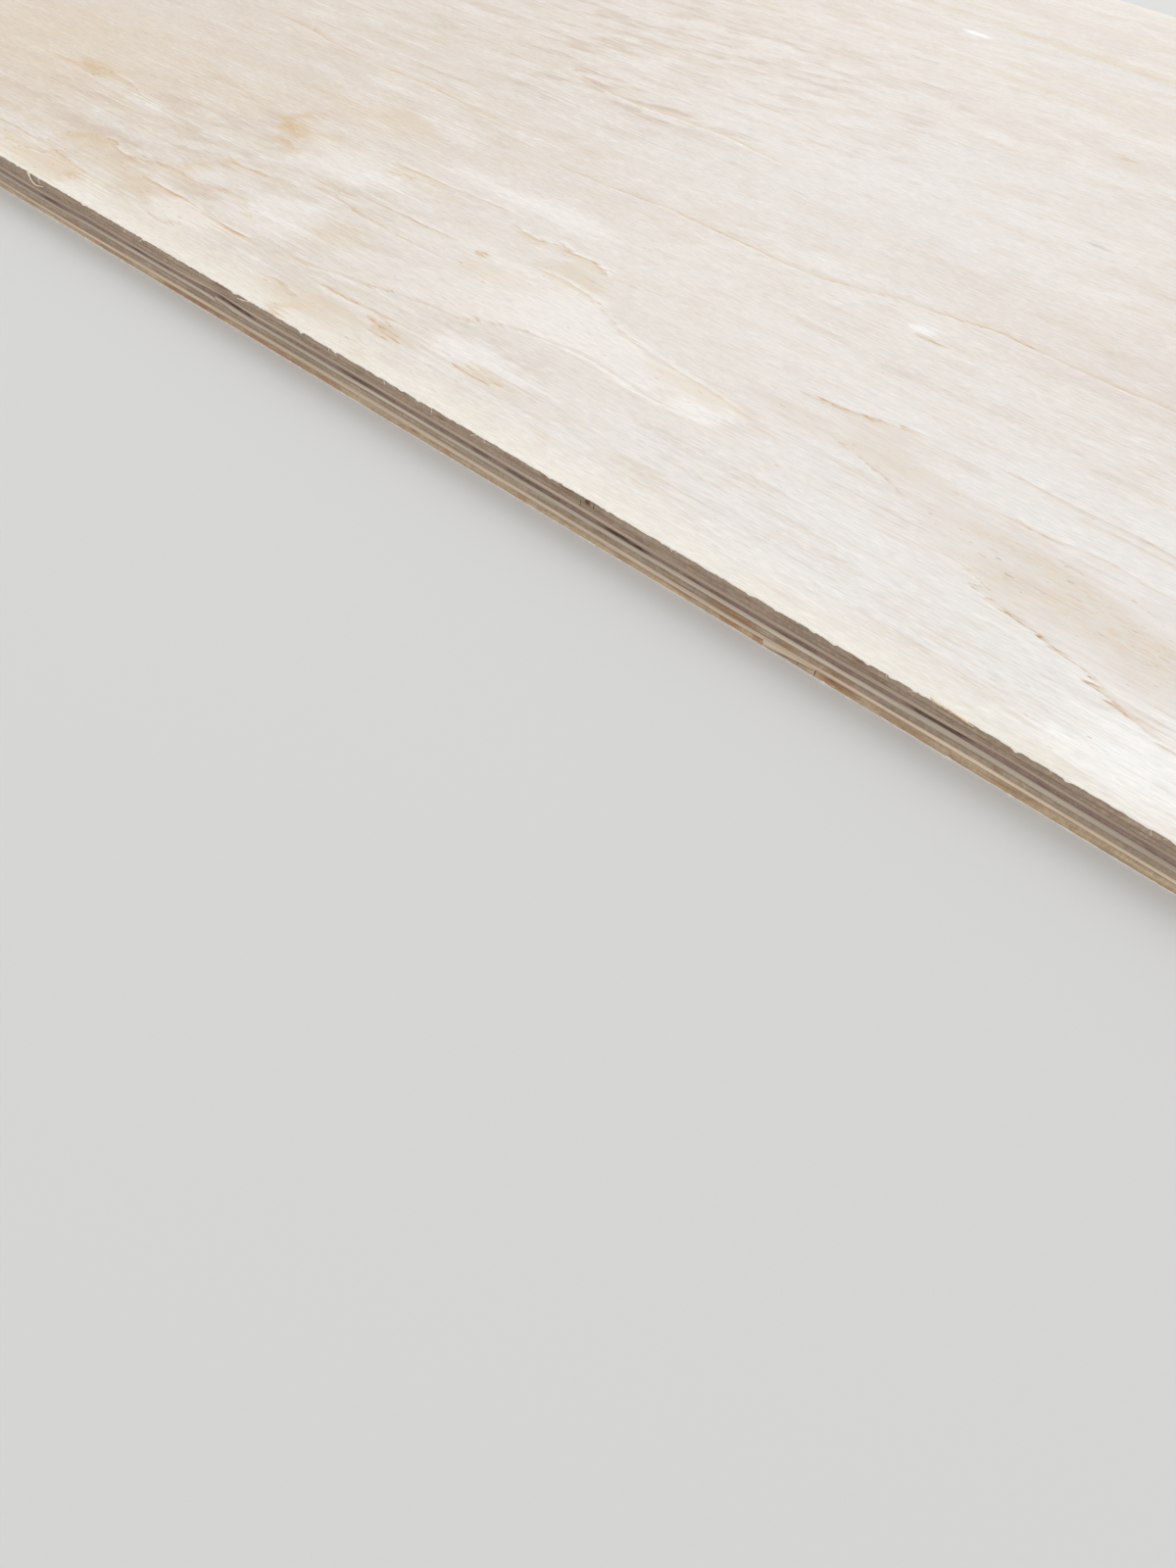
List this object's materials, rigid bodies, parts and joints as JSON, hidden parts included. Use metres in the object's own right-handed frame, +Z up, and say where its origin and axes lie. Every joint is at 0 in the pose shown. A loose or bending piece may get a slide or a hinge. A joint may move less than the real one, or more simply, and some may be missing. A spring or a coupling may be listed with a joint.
{
  "type": "plywood sheet",
  "caption": "Flat rectangular sheet of construction plywood with pale face veneers, cross-laid core plies and bare sawn edges.",
  "frame": {"origin": "middle of the underside", "axes": "+X along the length, which is the grain direction of the face veneer; +Y across the width; +Z up, out of the face"},
  "size_m": [2.44, 1.22, 0.018],
  "materials": {
    "face_veneer": "pale rotary-cut softwood veneer, lightly sanded, matt",
    "crossband_veneer": "brown core veneer, bare and sawn, matt",
    "long_core_veneer": "tan core veneer, bare and sawn, matt"
  },
  "bodies": {
    "root": {"face_veneer": "face_veneer", "crossband_ply_2": "crossband_veneer", "crossband_ply_3": "crossband_veneer", "long_ply_4": "long_core_veneer", "crossband_ply_5": "crossband_veneer", "centre_ply_6": "long_core_veneer", "crossband_ply_7": "crossband_veneer", "long_ply_8": "long_core_veneer", "crossband_ply_9": "crossband_veneer", "back_veneer": "face_veneer"}
  },
  "joints": []
}
